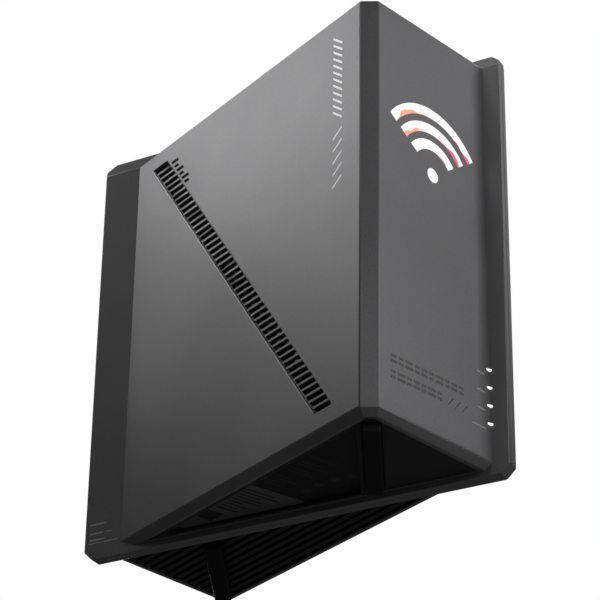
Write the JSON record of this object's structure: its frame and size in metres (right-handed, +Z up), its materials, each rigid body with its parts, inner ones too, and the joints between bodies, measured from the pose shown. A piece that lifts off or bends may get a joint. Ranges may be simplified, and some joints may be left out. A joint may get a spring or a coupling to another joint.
{
  "type": "wireless router",
  "caption": "Tower router: two angular louvred wings on a diagonal fin, with rear sockets, lit emblem and sprung buttons.",
  "frame": {"origin": "bottom centre of the whole tower, on the surface that it stands on", "axes": "+Z up, +X to the right along the fin, +Y to the back, where the sockets are"},
  "size_m": [0.174, 0.1246, 0.1751],
  "materials": {
    "shell": "fine-textured metallic grey paint on moulded ABS",
    "trim": "bright satin edge strip",
    "print": "black inlay",
    "grille": "black moulded grille",
    "base": "black moulded cover",
    "foot": "black rubber strip",
    "label": "printed film label",
    "screw": "zinc-plated steel",
    "lens": "lit white acrylic",
    "diffuser": "white diffuser sheet",
    "board": "green solder mask",
    "frame": "black moulded plastic",
    "chip": "epoxy package",
    "tin": "tinned steel sheet",
    "pad": "soft silicone pad",
    "sink": "extruded aluminium",
    "nylon": "natural nylon",
    "jack": "black moulded jack",
    "contact": "gold-flashed brass",
    "button": "moulded button",
    "tongue": "moulded insulator",
    "switch": "stamped switch cover",
    "reset": "red moulded pin",
    "antenna": "copper on board",
    "lead": "black insulation",
    "lead_light": "white insulation"
  },
  "bodies": {
    "root": {"front_shell": "shell", "rear_shell": "shell", "front_vent_trim": "trim", "rear_vent_trim": "trim", "side_badge": "print", "front_top_grille": "grille", "rear_top_grille": "grille", "front_base_cover": "base", "rear_base_cover": "base", "front_foot": "foot", "rear_foot": "foot", "rating_label": "label", "base_screws": "screw", "emblem_lens": "lens", "emblem_diffuser": "diffuser", "emblem_led_board": "board", "status_light_pipes": "lens", "status_led_board": "board", "main_board": "board", "board_frame": "frame", "board_screws": "screw", "processor": "chip", "memory_chips": "chip", "radio_chips": "chip", "shield_cans": "tin", "thermal_pads": "pad", "front_heat_sink": "sink", "rear_heat_sink": "sink", "heat_sink_screws": "screw", "io_board": "board", "io_board_screws": "screw", "board_link": "nylon", "dc_jack": "jack", "dc_pin": "contact", "power_switch": "frame", "wan_port": "tin", "lan_port_1": "tin", "lan_port_2": "tin", "lan_port_3": "tin", "port_contacts": "contact", "usb_port": "tin", "usb_tongue": "tongue", "wps_switch": "switch", "reset_switch": "switch", "left_antenna": "antenna", "right_antenna": "antenna", "front_top_antenna": "antenna", "rear_top_antenna": "antenna", "antenna_sockets": "contact", "antenna_leads": "lead", "light_leads": "lead_light"},
    "power_button": {"power_button": "button"},
    "wps_button": {"wps_button": "button"},
    "reset_button": {"reset_button": "reset"}
  },
  "joints": [
    {"name": "power_press", "type": "slide", "parent": "root", "child": "power_button", "axis": [-0.4143, -0.9101, 0], "range_m": [0, 0.0018], "stiffness_N_per_m": 400},
    {"name": "wps_press", "type": "slide", "parent": "root", "child": "wps_button", "axis": [-0.4143, -0.9101, 0], "range_m": [0, 0.0006], "stiffness_N_per_m": 500},
    {"name": "reset_press", "type": "slide", "parent": "root", "child": "reset_button", "axis": [-0.4143, -0.9101, 0], "range_m": [0, 0.0006], "stiffness_N_per_m": 300}
  ]
}
